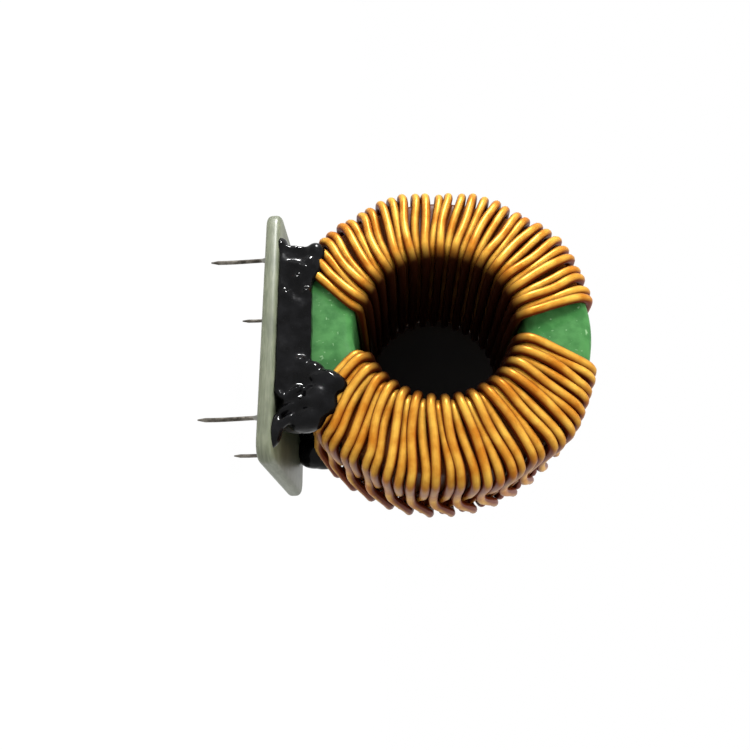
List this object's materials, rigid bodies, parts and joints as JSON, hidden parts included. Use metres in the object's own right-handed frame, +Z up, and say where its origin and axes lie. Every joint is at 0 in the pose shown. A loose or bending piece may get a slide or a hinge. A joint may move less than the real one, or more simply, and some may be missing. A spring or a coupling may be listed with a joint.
{
  "type": "common mode choke",
  "caption": "Toroidal common mode choke: two enamelled copper windings on a green coated ferrite ring, set upright in black resin on a small base board with through-hole pins.",
  "frame": {"origin": "centre of the four pins' pattern on the underside of the base board, the seating plane on a circuit board", "axes": "+Z up, away from the circuit board; +X along the board's long side; +Y along the ring's axis, with the pictured face looking to -Y"},
  "size_m": [0.0356, 0.0198, 0.0427],
  "materials": {
    "ferrite": "sintered, matt",
    "green_epoxy": "dipped coat, satin",
    "copper_wire": "clear enamel over drawn copper",
    "glass_laminate": "bare glass-epoxy laminate, routed edges",
    "tinned_pin": "tinned, dull",
    "solder": "solder, satin",
    "black_resin": "poured and set, high gloss"
  },
  "bodies": {
    "root": {"ferrite_ring": "ferrite", "core_coat": "green_epoxy", "winding_left": "copper_wire", "winding_right": "copper_wire", "base_board": "glass_laminate", "pin_front_left": "tinned_pin", "pin_front_right": "tinned_pin", "pin_back_left": "tinned_pin", "pin_back_right": "tinned_pin", "solder_joints": "solder", "resin_bed": "black_resin"}
  },
  "joints": []
}
